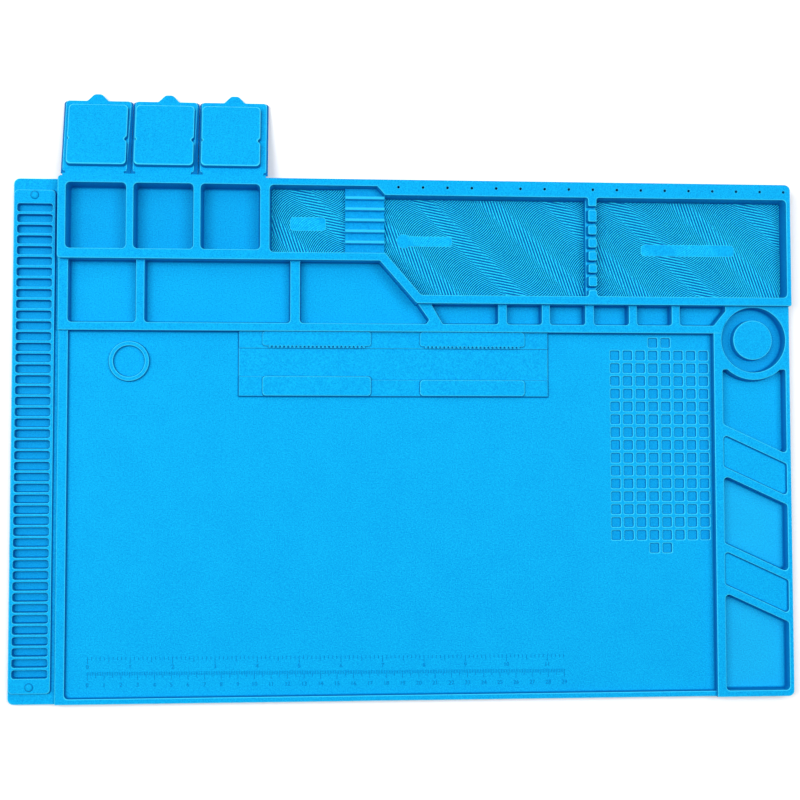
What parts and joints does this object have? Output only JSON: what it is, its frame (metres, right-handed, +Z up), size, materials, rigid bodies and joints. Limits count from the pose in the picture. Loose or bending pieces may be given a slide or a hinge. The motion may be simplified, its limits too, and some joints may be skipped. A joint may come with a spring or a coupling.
{
  "type": "parts sorting tray",
  "caption": "Flat silicone repair mat with raised sorting trays along the rear and right, flip-over lids on square boxes, a slotted edge strip, a screw grid and a board clamp plate.",
  "frame": {"origin": "middle of the mat's underside, on the surface it lies on", "axes": "+X along the long side towards the slanted bins, +Y towards the lids, +Z up"},
  "size_m": [0.48, 0.3713, 0.0162],
  "materials": {
    "silicone": "satin moulded silicone",
    "magnetic_sheet": "matt flexible magnet sheet"
  },
  "bodies": {
    "mat": {"base_sheet": "silicone", "strip_bed": "silicone", "slot_strip": "silicone", "slot_bars": "silicone", "strip_studs": "silicone", "box_row": "silicone", "pin_rail": "silicone", "tray_end_wall": "silicone", "tray_front_wall": "silicone", "tool_rest": "silicone", "rest_ribs": "silicone", "divider_wall": "silicone", "divider_teeth": "silicone", "ridged_pad_small": "silicone", "ridged_pad_left": "silicone", "ridged_pad_right": "silicone", "magnet_sheet_small": "magnetic_sheet", "magnet_sheet_left": "magnetic_sheet", "magnet_sheet_right": "magnetic_sheet", "middle_tray_row": "silicone", "small_tray_row": "silicone", "bin_column": "silicone", "well_disc": "silicone", "left_wall": "silicone", "front_border": "silicone", "work_floor": "silicone", "screw_grid": "silicone", "locating_ring": "silicone", "board_plate": "silicone", "rear_rail": "silicone", "front_rail": "silicone", "rear_jaw_left": "silicone", "rear_jaw_right": "silicone", "front_jaw_left": "silicone", "front_jaw_right": "silicone", "hinge_lip_left": "silicone", "hinge_lip_middle": "silicone", "hinge_lip_right": "silicone"},
    "lid_left": {"lid_flap_left": "silicone", "lid_plug_left": "silicone"},
    "lid_middle": {"lid_flap_middle": "silicone", "lid_plug_middle": "silicone"},
    "lid_right": {"lid_flap_right": "silicone", "lid_plug_right": "silicone"}
  },
  "joints": [
    {"name": "lid_left_hinge", "type": "hinge", "parent": "mat", "child": "lid_left", "pos_m": [0, 0.16, 0.01415], "axis": [1, 0, 0], "range_deg": [0, 193], "stiffness_Nm_per_rad": 0.014, "springref_deg": 8.71},
    {"name": "lid_middle_hinge", "type": "hinge", "parent": "mat", "child": "lid_middle", "pos_m": [0, 0.16, 0.01415], "axis": [1, 0, 0], "range_deg": [0, 193], "stiffness_Nm_per_rad": 0.014, "springref_deg": 8.71},
    {"name": "lid_right_hinge", "type": "hinge", "parent": "mat", "child": "lid_right", "pos_m": [0, 0.16, 0.01415], "axis": [1, 0, 0], "range_deg": [0, 193], "stiffness_Nm_per_rad": 0.014, "springref_deg": 8.71}
  ]
}
